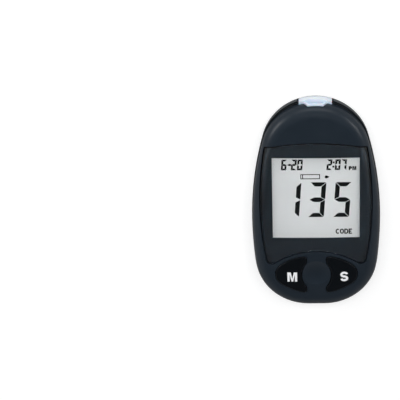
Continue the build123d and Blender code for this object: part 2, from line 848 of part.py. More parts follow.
# ---------------------------------------------------------------- coin cell
def make_coin_cell():
    """Can with a rounded lower edge, a shoulder, and the smaller cap on its upper side."""
    can_top_z = cell_top_z - cell_cap_height
    can = disc(cell_radius, cell_bottom_z, can_top_z, (0, cell_centre_y))
    can = fillet(can.faces().sort_by(Axis.Z)[0].edges(), cell_shoulder / 2)
    can = chamfer(can.faces().sort_by(Axis.Z)[-1].edges(), cell_shoulder)
    return can + disc(cell_cap_radius, can_top_z, cell_top_z, (0, cell_centre_y))


def make_battery_holder():
    """An inverted cup under the board, open below, with a slot for the side contact."""
    centre = (0, cell_centre_y)
    holder = disc(holder_outer_radius, holder_bottom_z, board_bottom_z, centre)
    holder -= disc(holder_inner_radius, holder_bottom_z, board_bottom_z - holder_roof, centre)
    holder -= disc(holder_inner_radius / 2, holder_bottom_z, board_bottom_z, centre)
    slot_width = 2 * holder_wall
    holder -= block(2 * slot_width, cell_radius / 2 + 2 * seat_gap, holder_bottom_z, board_bottom_z,
                    (holder_outer_radius, cell_centre_y))
    return holder


def make_negative_contact():
    """A leaf under the holder's roof, with a finger that bears on the cell's cap."""
    roof_z = board_bottom_z - holder_roof
    half_span = holder_inner_radius / 2 + 2 * holder_wall
    leaf_z = roof_z - contact_strip
    points = [
        (-half_span, roof_z),
        (-half_span, leaf_z),
        (0, cell_top_z),
        (half_span, leaf_z),
        (half_span, roof_z),
        (half_span - 1, roof_z),
        (0, cell_top_z + contact_strip),
        (1 - half_span, roof_z),
    ]
    profile = make_face(Plane.XZ * Polyline(*points, close=True))
    width = cell_radius / 3
    return Pos(0, cell_centre_y + width / 2, 0) * extrude(profile, width, dir=(0, -1, 0))


def make_positive_contact():
    """A flat spring that stands against the side of the can."""
    x = cell_radius + seat_gap + contact_strip / 2
    return block(contact_strip, cell_radius / 2, holder_bottom_z, board_bottom_z, (x, cell_centre_y))


# ---------------------------------------------------------------- write the parts
def one(shape):
    return [shape]


def mirrored(shape):
    return mirror(shape, about=Plane.YZ)


memory_key = make_memory_key()
memory_dome = make_memory_dome()
nodes = {
    "front_shell": one(make_front_shell()),
    "back_shell": one(make_back_shell()),
    "battery_door": one(make_battery_door()),
    "case_screws": make_case_screws(),
    "rubber_feet": make_feet(),
    "back_label": one(make_label()),
    "display_lens": one(make_display_lens()),
    "lens_mask": one(make_lens_mask()),
    "lcd_front_glass": one(make_front_glass()),
    "lcd_polariser": one(make_polariser()),
    "lcd_rear_glass": one(make_rear_glass()),
    "lcd_reflector": one(make_reflector()),
    "lcd_frame": one(make_lcd_frame()),
    "upper_elastomer": one(make_elastomer(1)),
    "lower_elastomer": one(make_elastomer(-1)),
    "display_gasket": one(make_gasket()),
    "memory_key": one(memory_key),
    "set_key": one(mirrored(memory_key)),
    "keypad_mat": one(make_keypad_mat()),
    "memory_key_dome": one(memory_dome),
    "set_key_dome": one(mirrored(memory_dome)),
    "strip_port": one(make_strip_port()),
    "strip_connector": one(make_strip_connector()),
    "strip_contacts": make_strip_contacts(),
    "main_board": one(make_main_board()),
    "board_screws": make_board_screws(),
    "microcontroller": one(make_chip(processor_size, processor_at)),
    "measuring_chip": one(make_chip(measuring_chip_size, measuring_chip_at)),
    "memory_chip": one(make_chip(memory_chip_size, memory_chip_at)),
    "watch_crystal": one(make_crystal()),
    "board_capacitors": make_capacitors(),
    "buzzer": one(make_buzzer()),
    "data_jack": one(make_data_jack()),
    "data_jack_contacts": make_jack_contacts(),
    "coin_cell": one(make_coin_cell()),
    "battery_holder": one(make_battery_holder()),
    "battery_negative_contact": one(make_negative_contact()),
    "battery_positive_contact": one(make_positive_contact()),
}

os.makedirs("parts", exist_ok=True)
for name, shapes in nodes.items():
    solids = [solid for shape in shapes for solid in shape.solids()]
    export_step(solids[0] if len(solids) == 1 else Compound(children=solids), f"parts/{name}.step")
    print(name, len(solids), "solid(s)")
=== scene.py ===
# %% [markdown]
# # A hand-held blood glucose meter
# The solids of the meter come from CAD as a fixed frame, in metres. They are neither moved nor changed here. This file
# gives each of them its finish, adds what CAD leaves out, such as the digits of the display and the print on the keys,
# and sets up the camera and the light.

# %% Load the solids
import json
import math

import bmesh
import bpy
from mathutils import Matrix, Vector


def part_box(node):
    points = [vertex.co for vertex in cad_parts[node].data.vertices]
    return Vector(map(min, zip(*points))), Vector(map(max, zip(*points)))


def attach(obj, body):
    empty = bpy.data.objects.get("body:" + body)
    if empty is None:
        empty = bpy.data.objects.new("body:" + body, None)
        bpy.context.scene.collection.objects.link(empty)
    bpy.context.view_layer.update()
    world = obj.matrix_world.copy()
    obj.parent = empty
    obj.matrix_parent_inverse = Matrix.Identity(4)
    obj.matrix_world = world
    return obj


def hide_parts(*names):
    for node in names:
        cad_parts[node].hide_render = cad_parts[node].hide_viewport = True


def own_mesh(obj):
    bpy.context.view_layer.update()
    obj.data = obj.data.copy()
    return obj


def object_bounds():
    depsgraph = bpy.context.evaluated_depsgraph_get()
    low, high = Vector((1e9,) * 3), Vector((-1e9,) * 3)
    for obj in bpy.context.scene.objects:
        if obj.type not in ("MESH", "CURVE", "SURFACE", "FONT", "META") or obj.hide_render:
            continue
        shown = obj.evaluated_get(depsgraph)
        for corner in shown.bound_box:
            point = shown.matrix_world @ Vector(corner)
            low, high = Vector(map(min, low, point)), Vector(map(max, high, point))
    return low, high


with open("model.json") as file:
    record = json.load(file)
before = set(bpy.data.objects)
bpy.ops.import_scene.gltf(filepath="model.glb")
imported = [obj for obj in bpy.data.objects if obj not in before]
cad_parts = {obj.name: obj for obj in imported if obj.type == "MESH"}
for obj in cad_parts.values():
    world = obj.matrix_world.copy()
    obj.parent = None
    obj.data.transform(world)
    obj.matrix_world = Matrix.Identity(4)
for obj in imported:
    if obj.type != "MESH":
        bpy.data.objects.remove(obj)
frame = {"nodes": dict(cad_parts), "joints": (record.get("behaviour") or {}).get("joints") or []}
nodes = frame["nodes"]
cad_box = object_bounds()
MM = 0.001
size = (cad_box[1] - cad_box[0]) / MM
print("solids:", len(nodes), "size in mm:", [round(side, 1) for side in size])

# %% [markdown]
# ## Shader maths in Python
# A finish is a small network of nodes. Written as Python, noise * 0.2 + 0.4 is one line instead of two boxes and their
# wires. Wire stands for one output and turns the operators into Math nodes. Network holds a tree of nodes, and its add
# method makes any other node. Mix keeps colours as colours, because a Math node would make them grey.

# %% Wires and networks
class Wire:
    """One output of a node, for use in expressions."""

    def __init__(self, network, socket):
        self.network = network
        self.socket = socket

    def math(self, operation, first, second):
        return self.network.add("ShaderNodeMath", {"operation": operation}, {0: first, 1: second})

    def __add__(self, other):
        return self.math("ADD", self, other)

    def __sub__(self, other):
        return self.math("SUBTRACT", self, other)

    def __rsub__(self, other):
        return self.math("SUBTRACT", other, self)

    def __mul__(self, other):
        return self.math("MULTIPLY", self, other)

    def __gt__(self, other):
        return self.math("GREATER_THAN", self, other)

    __radd__ = __add__
    __rmul__ = __mul__


class Network:
    """A tree of nodes."""

    def __init__(self, tree):
        self.tree = tree

    def add(self, kind, settings=None, sockets=None, output=0):
        """Any node: its settings first, then the values or wires of its sockets."""
        node = self.tree.nodes.new(kind)
        for name, value in (settings or {}).items():
            setattr(node, name, value)
        for name, value in (sockets or {}).items():
            self.connect(node.inputs[name], value)
        return Wire(self, node.outputs[output])

    def connect(self, socket, value):
        if isinstance(value, Wire):
            self.tree.links.new(value.socket, socket)
        else:
            socket.default_value = value


print("a wire knows:", [name for name, member in vars(Wire).items() if callable(member)])

# %% [markdown]
# ## Finishes
# Almost every material of the meter is one Principled shader with the same few habits: a colour that wanders between
# two close tones, a roughness that is never quite even, a grain of a real size, and moulded edges that are a little
# round. Finish collects those habits, so that each material below is a few lines about that material alone.

# %% One class for every finish
# A Mix node has sockets of one name for numbers, vectors and colours. These are the colours.
MIX_FIRST, MIX_SECOND, MIX_RESULT = 6, 7, 2
EDGE_SAMPLES = 4


def linear(red, green, blue):
    """A colour as a paint chart gives it, 0 to 255, as the light values that shaders use, by the sRGB curve."""
    def channel(value):
        value /= 255
        return value / 12.92 if value <= 0.04045 else ((value + 0.055) / 1.055) ** 2.4
    return (channel(red), channel(green), channel(blue), 1)


class Finish(Network):
    """One material with a Principled shader, whose sockets take values or wires."""

    def __init__(self, name, **sockets):
        self.material = bpy.data.materials.new(name)
        self.material.use_nodes = True
        super().__init__(self.material.node_tree)
        self.shader = self.tree.nodes["Principled BSDF"]
        self.place = self.add("ShaderNodeTexCoord", output="Object")
        self.set(**sockets)

    def set(self, **sockets):
        """Sets the shader's sockets: base_color for Base Color, and so on."""
        for name, value in sockets.items():
            self.connect(self.shader.inputs[name.replace("_", " ").title().replace("Ior", "IOR")], value)

    def mix(self, first, second, share):
        """From the first colour to the second, by a share from 0 to 1."""
        sockets = {"Factor": share, MIX_FIRST: first, MIX_SECOND: second}
        return self.add("ShaderNodeMix", {"data_type": "RGBA"}, sockets, output=MIX_RESULT)

    def noise(self, grain_mm, detail=3.0, stretch=(1, 1, 1)):
        """Soft random grey whose grain has a real size."""
        at = self.add("ShaderNodeVectorMath", {"operation": "MULTIPLY"}, {0: self.place, 1: stretch})
        return self.add("ShaderNodeTexNoise", {}, {"Vector": at, "Scale": 1 / (grain_mm * MM), "Detail": detail})

    def relief(self, height, depth_mm, under=None):
        """Raises the surface by a height map, for light only."""
        sockets = {"Height": height, "Distance": depth_mm * MM}
        if under is not None:
            sockets["Normal"] = under
        return self.add("ShaderNodeBump", {}, sockets)

    def soft_edge(self, radius_mm):
        """Normals that round off a sharp moulded edge."""
        return self.add("ShaderNodeBevel", {"samples": EDGE_SAMPLES}, {"Radius": radius_mm * MM})

    def level(self):
        """1 where the surface is nearer to level than to upright, and 0 elsewhere."""
        facing = self.add("ShaderNodeNewGeometry", output="Normal")
        tilt = self.add("ShaderNodeSeparateXYZ", {}, {"Vector": facing}, output="Z")
        return tilt * tilt > 0.5


def dress(finish, *names):
    """Puts a finish on CAD nodes."""
    for name in names:
        for material_slot in nodes[name].material_slots:
            material_slot.material = finish.material
    print(finish.material.name, "on", ", ".join(names))


print("half of white, as light:", [round(channel, 3) for channel in linear(128, 128, 128)[:3]])

# %% [markdown]
# ## Camera
# The meter lies on its back, and the camera looks down on it from above its strip end. A long lens from about a metre
# away keeps the sides of the meter nearly parallel, as in a catalogue picture. The meter stands to the right of the
# picture's middle, so the sensor is shifted instead of turning the camera, which would change the angle.

# %% Camera over the strip end
view_target = Vector((0, 0, 10 * MM))
view_tilt = math.radians(25.25)
view_roll = math.radians(-0.4)
view_distance = 1.1

camera = bpy.data.objects.new("camera", bpy.data.cameras.new("camera"))
camera.data.sensor_width = 36
camera.data.lens = 205.1
camera.data.shift_x = -0.290
camera.data.shift_y = 0.005
turn = Matrix.Rotation(-view_tilt, 4, "X") @ Matrix.Rotation(view_roll, 4, "Z")
camera.matrix_world = Matrix.Translation(view_target) @ turn @ Matrix.Translation((0, 0, view_distance))
bpy.context.scene.collection.objects.link(camera)
bpy.context.scene.camera = camera
print("camera at", [round(c, 3) for c in camera.matrix_world.translation])

# %% [markdown]
# ## Light
# Dark gloss shows the room more than its own colour, so the room matters as much as the lamps. Three softboxes stand
# low, beyond the strip end and on both sides, and draw the pale line along the rounded end of the cover. A fourth one
# overhead lights the display and the pale port. It has no glare, like a lamp behind a polarising filter, so gloss
# doesn't mirror it. The room itself is bright low down and dark overhead, as with a white sweep under a dark ceiling:
# the level faces mirror the ceiling and keep their own deep colour. Only the camera sees the room as almost white.
#
# Cycles blurs gloss that is met after a soft bounce, to save noise. That would frost the clear lens for the light that
# reaches the display, so the blur is off.

# %% Four softboxes and a room with a dark ceiling
def add_softbox(name, direction, distance, width, height, power, glare=True):
    """A rectangular area lamp that faces the meter from a direction, and that gloss mirrors only with glare."""
    lamp = bpy.data.lights.new(name, "AREA")
    lamp.shape = "RECTANGLE"
    lamp.size, lamp.size_y, lamp.energy = width, height, power
    softbox = bpy.data.objects.new(name, lamp)
    softbox.location = Vector(direction).normalized() * distance
    softbox.rotation_euler = Vector(direction).to_track_quat("Z", "Y").to_euler()
    softbox.visible_glossy = glare
    bpy.context.scene.collection.objects.link(softbox)


add_softbox("softbox_beyond", (0.0, 0.97, 0.24), distance=1.5, width=1.3, height=0.25, power=5)
add_softbox("softbox_left", (-0.87, 0.42, 0.24), distance=1.4, width=0.6, height=0.25, power=5)
add_softbox("softbox_right", (0.87, 0.42, 0.24), distance=1.4, width=0.6, height=0.25, power=3.5)
add_softbox("softbox_overhead", (0.0, 0.45, 0.89), distance=1.4, width=1.1, height=0.5, power=13, glare=False)

cool_white = (0.95, 0.97, 1.0, 1)
ceiling_light, horizon_light = 0.08, 0.5
world = bpy.data.worlds.new("room")
bpy.context.scene.world = world
world.use_nodes = True
room = Network(world.node_tree)
toward = room.add("ShaderNodeTexCoord", output="Generated")
rise = room.add("ShaderNodeSeparateXYZ", {}, {"Vector": toward}, output="Z")
low_down = 1 - rise * rise
background = world.node_tree.nodes["Background"]
background.inputs["Color"].default_value = cool_white
room_light = low_down * low_down * horizon_light + ceiling_light
camera_ray = room.add("ShaderNodeLightPath", output="Is Camera Ray")
room.connect(background.inputs["Strength"], room_light + camera_ray * (1 - room_light))
bpy.context.scene.view_settings.view_transform = "Standard"
bpy.context.scene.cycles.blur_glossy = 0.0

# %% [markdown]
# ## Floor
# The meter rests on a white sweep of card. A diffuse card under plain light would come out a light grey, so a share of
# glow is added for rays that come straight from the camera or through clear parts. That glow lights nothing and shows
# in no gloss, or the sides of the meter would fade into the card. The meter's shadow still shows.

# %% White card
card_reach = 8.0
card_glow = 0.65
card_mesh = bpy.data.meshes.new("card")
corners = [(x * card_reach, y * card_reach, 0) for x, y in ((-1, -1), (1, -1), (1, 1), (-1, 1))]
card_mesh.from_pydata(corners, [], [(0, 1, 2, 3)])
card = bpy.data.objects.new("card", card_mesh)
bpy.context.scene.collection.objects.link(card)

card_finish = Finish("white_card", base_color=linear(180, 180, 180), roughness=0.9, specular_ior_level=0.1)
seen, seen_through = [card_finish.add("ShaderNodeLightPath", output=f"Is {kind} Ray")
                      for kind in ("Camera", "Transmission")]
card_finish.set(emission_color=(1, 1, 1, 1), emission_strength=(seen + seen_through) * card_glow)
card_mesh.materials.append(card_finish.material)
print("card of", 2 * card_reach, "m")

# %% [markdown]
# ## Front cover
# The cover is moulded in a dark blue-grey plastic from a polished tool, so it has a soft gloss. A perfectly even gloss
# looks like a computer picture: a real moulding has a slight orange peel and a faint haze that varies from place to
# place. Both are noise here, a wide one on the roughness and a fine, very shallow one on the normals.

# %% Satin blue-grey cover
cover = Finish("cover_plastic", ior=1.46, specular_ior_level=0.28)
haze = cover.noise(9, detail=4)
peel = cover.noise(0.7, detail=2)
cover.set(
    base_color=cover.mix(linear(27, 35, 43), linear(33, 41, 49), haze),
    roughness=haze * 0.10 + 0.30,
    normal=cover.relief(peel, 0.004, under=cover.soft_edge(0.25)),
)
dress(cover, "front_shell")

# %% [markdown]
# ## Back housing and battery door
# The back is what a hand holds. Its tool is spark eroded, which leaves a fine even grain that hides scratches and gives
# grip. It is a shade lighter than the cover and quite matt. A fine noise makes the grain, and a wide one varies the
# colour a little, as handling does. The crescent groove between the cover and the rim gets painted shade: a mask by
# height and slope darkens every level face of the back from the groove's floor up.

# %% Grained grey back
groove_floor, margin = 8.2 * MM, 0.05 * MM
back = Finish("back_plastic", ior=1.48)
grain = back.noise(0.22, detail=2)
handling = back.noise(12, detail=4)
altitude = back.add("ShaderNodeSeparateXYZ", {}, {"Vector": back.place}, output="Z")
# painted shade: every level face of the back from the groove floor up is darkened, standing in for the shade in the
# groove
painted_groove_shade = (altitude > groove_floor - margin) * back.level()
back.set(
    base_color=back.mix(back.mix(linear(52, 57, 60), linear(62, 66, 69), handling), linear(14, 18, 22), painted_groove_shade),
    roughness=grain * 0.16 + 0.46,
    normal=back.relief(grain, 0.02, under=back.soft_edge(0.3)),
)
dress(back, "back_shell", "battery_door")

# %% [markdown]
# ## Display lens and its print
# The lens is a clear acrylic sheet. Behind it lies a dark print with the window left open. As clear plastic it takes a
# transmissive shader with almost no roughness, and only the gloss on it shows that it is there. Fine hairlines from
# wiping vary its roughness. The wall round the sheet is inked dark and dull, or it would pipe light and glow, so every
# face that isn't level gets the ink.

# %% Clear lens
lens = Finish("clear_acrylic", transmission_weight=1.0, ior=1.49)
wiping = lens.noise(1.6, detail=3, stretch=(0.15, 1, 1))
inked_rim = 1 - lens.level()
acrylic = (0.99, 0.995, 1, 1)
lens.set(
    base_color=lens.mix(acrylic, linear(12, 14, 16), inked_rim),
    roughness=wiping * 0.05 + inked_rim * 0.6,
)
dress(lens, "display_lens")

# %% Dark print behind the lens
mask_print = Finish("dark_print", ior=1.4)
screen_dots = mask_print.noise(0.12, detail=1)
ink_depth = mask_print.noise(8, detail=3)
mask_print.set(
    base_color=mask_print.mix(linear(2, 20, 30), linear(8, 27, 38), ink_depth),
    roughness=screen_dots * 0.2 + 0.5,
    normal=mask_print.relief(screen_dots, 0.002),
)
dress(mask_print, "lens_mask")

# %% [markdown]
# ## Display
# The display is a sandwich: polariser, two glasses with the liquid crystal between them, and a foil that throws the
# light back. What the eye sees is an even silvery grey with a very fine tooth. The zebra strips that connect the glass
# to the board are layers of black conducting and pale insulating rubber. A wave texture draws them half a millimetre
# thick. Real layers are several times thinner and would blur.

# %% Silvery grey of the display
silver_film = Finish("display_film", ior=1.45, specular_ior_level=0.3)
tooth = silver_film.noise(0.15, detail=2)
cloud = silver_film.noise(14, detail=2)
silver_film.set(
    base_color=silver_film.mix(linear(236, 238, 237), linear(242, 243, 242), cloud),
    roughness=tooth * 0.2 + 0.45,
    normal=silver_film.relief(tooth, 0.003),
)
dress(silver_film, "lcd_polariser")

# %% Glass and foil
cell_glass = Finish("cell_glass", base_color=(0.86, 0.93, 0.90, 1), transmission_weight=1.0, ior=1.52)
cell_glass.set(roughness=cell_glass.noise(3, detail=2) * 0.03)
dress(cell_glass, "lcd_front_glass", "lcd_rear_glass")

foil = Finish("diffuse_foil", metallic=0.9)
crinkle = foil.noise(0.4, detail=3)
foil.set(
    base_color=foil.mix(linear(196, 198, 196), linear(218, 220, 217), crinkle),
    roughness=crinkle * 0.2 + 0.4,
    normal=foil.relief(crinkle, 0.006),
)
dress(foil, "lcd_reflector")

# %% Display holder, zebra strips and dust seal
white_moulding = Finish("white_moulding", ior=1.5)
flow = white_moulding.noise(5, detail=4)
white_moulding.set(
    base_color=white_moulding.mix(linear(214, 215, 212), linear(226, 227, 224), flow),
    roughness=flow * 0.15 + 0.45,
    normal=white_moulding.relief(white_moulding.noise(0.3), 0.006, under=white_moulding.soft_edge(0.2)),
)
dress(white_moulding, "lcd_frame")

zebra = Finish("zebra_rubber", roughness=0.7, subsurface_weight=0.1)
zebra_scale = 0.32 / MM  # a wave turns by 20 radians per unit, so a pair of layers is 0.98 mm thick
layer = zebra.add(
    "ShaderNodeTexWave",
    {"wave_type": "BANDS", "bands_direction": "X", "wave_profile": "SIN"},
    {"Vector": zebra.place, "Scale": zebra_scale, "Distortion": 0.0},
)
zebra.set(base_color=zebra.mix(linear(226, 168, 158), linear(30, 28, 28), layer > 0.5))
dress(zebra, "upper_elastomer", "lower_elastomer")

foam = Finish("black_foam", specular_ior_level=0.2)
foam_cell = 0.25 * MM
cell_map = foam.add("ShaderNodeTexVoronoi", {"feature": "F1"}, {"Vector": foam.place, "Scale": 1 / foam_cell})
foam.set(
    base_color=foam.mix(linear(22, 22, 23), linear(52, 52, 54), cell_map),
    roughness=cell_map * 0.2 + 0.75,
    normal=foam.relief(cell_map, 0.08),
)
dress(foam, "display_gasket")

# %% [markdown]
# ## Keys and the silicone under them
# The keys are polished black plastic, deeper and glossier than the cover. Fingers leave a light film on such keys, so
# the roughness rises softly in places. The pad below is moulded silicone, milky and a little waxy, which subsurface
# scattering gives.

# %% Polished black keys
key_plastic = Finish("key_plastic", ior=1.46, specular_ior_level=0.3)
touch = key_plastic.noise(4, detail=4)
key_plastic.set(
    base_color=key_plastic.mix(linear(1, 4, 8), linear(5, 9, 14), touch),
    roughness=touch * 0.12 + 0.26,
    normal=key_plastic.relief(key_plastic.noise(0.9, detail=1), 0.003, under=key_plastic.soft_edge(0.15)),
)
dress(key_plastic, "memory_key", "set_key")

# %% Milky silicone
silicone = Finish("milky_silicone", ior=1.41, subsurface_weight=0.4, subsurface_scale=0.002)
bloom = silicone.noise(1.5, detail=4)
silicone.set(
    base_color=silicone.mix(linear(196, 199, 201), linear(214, 216, 217), bloom),
    roughness=bloom * 0.15 + 0.5,
    normal=silicone.relief(bloom, 0.01),
)
dress(silicone, "keypad_mat", "memory_key_dome", "set_key_dome")

# %% [markdown]
# ## Test strip port
# The port is a pale, slightly blue insert that guides the strip and lets light through. Its colour is painted darker
# and bluer towards the inside of the recess, as painted shade that follows the distance from the end of the meter.
# Along the low edge, where it meets the dark plastic, a grey line of painted shade is drawn. A little subsurface
# scattering keeps its edges from looking like painted metal.

# %% Pale translucent port
port = Finish("pale_port", ior=1.46, subsurface_weight=0.25, subsurface_scale=0.0015)
along, rising = [port.add("ShaderNodeSeparateXYZ", {}, {"Vector": port.place}, output=axis) for axis in "YZ"]
port_low, port_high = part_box("strip_port")
recess_shade_length, low_shade_height, low_shade_blur = 3.0 * MM, 1.3 * MM, 0.6 * MM
# painted shade: the colour darkens towards the inside of the recess, by the distance from the end of the meter
painted_recess_shade = (port_high.y - along) * (1 / recess_shade_length)
# painted shade: a grey line along the low edge, where the port meets the dark plastic
painted_low_edge_shade = (port_low.z + low_shade_height - rising) * (1 / low_shade_blur)
milk = port.noise(2.5, detail=3)
pale_with_painted_recess_shade = port.mix(linear(230, 235, 240), linear(182, 198, 218), painted_recess_shade)
port.set(
    base_color=port.mix(pale_with_painted_recess_shade, linear(150, 151, 154), painted_low_edge_shade),
    roughness=milk * 0.15 + 0.28,
    normal=port.relief(milk, 0.006, under=port.soft_edge(0.2)),
)
dress(port, "strip_port")

# %% [markdown]
# ## Screws, feet and the bare label
# Zinc plated screws have a fine grain and a mottled blue-grey plating. The feet are matt black rubber with a dusty
# look, which comes from sheen and a grainy roughness. The label plate carries no print, so only the weave of its film
# and a slight unevenness show.

# %% Zinc plated steel
zinc = Finish("zinc_plating", metallic=1.0)
mottle = zinc.noise(0.8, detail=4)
zinc.set(
    base_color=zinc.mix(linear(176, 179, 184), linear(205, 207, 209), mottle),
    roughness=mottle * 0.25 + 0.22,
    normal=zinc.relief(zinc.noise(0.15), 0.004, under=zinc.soft_edge(0.1)),
)
dress(zinc, "case_screws", "board_screws")

# %% Rubber feet
rubber = Finish("black_rubber", specular_ior_level=0.25, sheen_weight=0.15, sheen_roughness=0.6)
dust = rubber.noise(0.3, detail=4)
rubber.set(
    base_color=rubber.mix(linear(30, 30, 31), linear(48, 48, 48), dust),
    roughness=dust * 0.15 + 0.75,
    normal=rubber.relief(dust, 0.02, under=rubber.soft_edge(0.15)),
)
dress(rubber, "rubber_feet")

# %% Bare label plate
label_film = Finish("label_film", ior=1.48)
weave = label_film.noise(0.18, detail=1)
fade = label_film.noise(6, detail=3)
label_film.set(
    base_color=label_film.mix(linear(196, 199, 202), linear(208, 210, 212), fade),
    roughness=weave * 0.15 + 0.35,
    normal=label_film.relief(weave, 0.004),
)
dress(label_film, "back_label")

# %% [markdown]
# ## Board
# A circuit board is green lacquer over copper tracks. The tracks run in straight lanes, and the rows of a brick
# texture give lanes of different lengths. Where there is copper under the lacquer the green is lighter and stands two
# hundredths of a millimetre proud. The cut edge shows the glass fibre.

# %% Green board with copper lanes
board = Finish("green_board", ior=1.5)
lane_unit = 3.2 * MM
lanes = board.add(
    "ShaderNodeTexBrick",
    {"offset": 0.37, "squash": 0.7},
    {"Vector": board.place, "Scale": 1 / lane_unit, "Mortar Size": 0.035, "Brick Width": 2.3, "Row Height": 0.25,
     "Color1": (1, 1, 1, 1), "Color2": (0, 0, 0, 1), "Mortar": (0.2, 0.2, 0.2, 1)},
)
copper = board.add("ShaderNodeSeparateColor", {}, {"Color": lanes})
edge = 1 - board.level()
lacquer = board.mix(linear(16, 74, 44), linear(34, 104, 62), copper)
board.set(
    base_color=board.mix(lacquer, linear(168, 156, 104), edge),
    roughness=copper * 0.08 + 0.3,
    normal=board.relief(copper, 0.02),
)
dress(board, "main_board")

# %% [markdown]
# ## Parts on the board
# Chips are epoxy filled with glass beads, so they are black with a fine pale speckle. The crystal's can and the coin
# cell are stamped steel, brushed in one direction. Ceramic capacitors have a tan body with specks. Their silvery ends
# are left out.

# %% Moulded chips and connectors
epoxy = Finish("chip_epoxy", ior=1.5)
beads = epoxy.noise(0.08, detail=2)
epoxy.set(
    base_color=epoxy.mix(linear(32, 33, 35), linear(56, 57, 60), beads > 0.62),
    roughness=beads * 0.2 + 0.5,
    normal=epoxy.relief(beads, 0.008, under=epoxy.soft_edge(0.08)),
)
dress(epoxy, "microcontroller", "measuring_chip", "memory_chip")

nylon = Finish("black_nylon", ior=1.53)
sink = nylon.noise(2.5, detail=4)
nylon.set(
    base_color=nylon.mix(linear(34, 35, 37), linear(46, 47, 50), sink),
    roughness=sink * 0.2 + 0.38,
    normal=nylon.relief(nylon.noise(0.2), 0.008, under=nylon.soft_edge(0.15)),
)
dress(nylon, "strip_connector", "data_jack", "battery_holder", "buzzer")

# %% Plated contacts and springs
gold = Finish("gold_plating", metallic=1.0)
wear = gold.noise(0.5, detail=4)
gold.set(
    base_color=gold.mix(linear(226, 178, 92), linear(242, 204, 124), wear),
    roughness=wear * 0.2 + 0.18,
    normal=gold.relief(wear, 0.003, under=gold.soft_edge(0.05)),
)
dress(gold, "strip_contacts", "data_jack_contacts")

nickel = Finish("nickel_spring", metallic=1.0)
drawn = nickel.noise(0.3, detail=3, stretch=(1, 8, 1))
nickel.set(
    base_color=nickel.mix(linear(196, 192, 182), linear(216, 212, 204), drawn),
    roughness=drawn * 0.2 + 0.2,
    normal=nickel.relief(drawn, 0.004, under=nickel.soft_edge(0.06)),
)
dress(nickel, "battery_negative_contact", "battery_positive_contact")

# %% Brushed cell and crystal can
steel = Finish("brushed_steel", metallic=1.0)
brushing = steel.noise(0.25, detail=4, stretch=(1, 0.08, 1))
steel.set(
    base_color=steel.mix(linear(188, 188, 188), linear(214, 214, 213), brushing),
    roughness=brushing * 0.25 + 0.2,
    normal=steel.relief(brushing, 0.004, under=steel.soft_edge(0.1)),
)
dress(steel, "coin_cell", "watch_crystal")

ceramic = Finish("fired_ceramic", ior=1.6)
specks = ceramic.noise(0.12, detail=3)
ceramic.set(
    base_color=ceramic.mix(linear(182, 152, 112), linear(204, 176, 136), specks),
    roughness=specks * 0.2 + 0.35,
    normal=ceramic.relief(specks, 0.004, under=ceramic.soft_edge(0.12)),
)
dress(ceramic, "board_capacitors")

# %% [markdown]
# ## What the display shows
# Each segment of a digit is a patch of liquid crystal between mitred gaps. The patches are built as flat plates a few
# hundredths of a millimetre thick, right on the film, because then the light and the lens above treat them like the
# rest. One function gives the seven outlines of a digit, and another draws them in, so that a gap stays between
# neighbours. The digits lean a few degrees, as on most such displays.

# %% Segment outlines
segment_gap = 0.22
middle_share = 0.55  # half the height of the middle segment, as a share of the stroke
lean = math.tan(math.radians(4.2))
LIT = {"0": "abcdef", "1": "bc", "2": "abdeg", "3": "abcdg", "5": "acdfg", "6": "acdefg", "7": "abc", "-": "g"}


def segment_outlines(width, height, thick):
    """The seven segments a to g of a digit with its lower left corner at the origin, in millimetres."""
    half = height / 2
    right, inner = width - thick, height - thick
    over, under = half + thick * middle_share, half - thick * middle_share
    side = [(width, height), (width, half), (right, over), (right, inner)]

    def flipped(points):
        return [(x, height - y) for x, y in reversed(points)]

    def mirrored(points):
        return [(width - x, y) for x, y in reversed(points)]
    top = [(0, height), (width, height), (right, inner), (thick, inner)]
    middle = [(0, half), (thick, over), (right, over), (width, half), (right, under), (thick, under)]
    return {"a": top, "b": side, "c": flipped(side), "d": flipped(top), "e": mirrored(flipped(side)),
            "f": mirrored(side), "g": middle}


def drawn_in(points, distance):
    """A convex outline, given clockwise, moved inwards on every side."""
    lines = []
    for start, end in zip(points, points[1:] + points[:1]):
        along = (Vector(end) - Vector(start)).normalized()
        inward = Vector((along.y, -along.x))
        lines.append((Vector(start) + inward * distance, along))
    corners = []
    for (point, along), (other, other_along) in zip(lines[-1:] + lines[:-1], lines):
        cross = along.x * other_along.y - along.y * other_along.x
        offset = other - point
        corners.append(point + along * ((offset.x * other_along.y - offset.y * other_along.x) / cross))
    return corners


print("a digit has", len(segment_outlines(7, 18, 2)), "segments")

# %% Plates on the display film
film_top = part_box("lcd_polariser")[1].z
plate_thickness, weld_distance = 0.03 * MM, 0.001 * MM
dark_crystal = Finish("dark_crystal", ior=1.45, specular_ior_level=0.1)
ripple = dark_crystal.noise(0.5, detail=2)
dark_crystal.set(base_color=dark_crystal.mix(linear(1, 2, 2), linear(5, 6, 7), ripple), roughness=ripple * 0.2 + 0.6)


def on_display(x, y):
    """Height of the display film, which is level."""
    return film_top


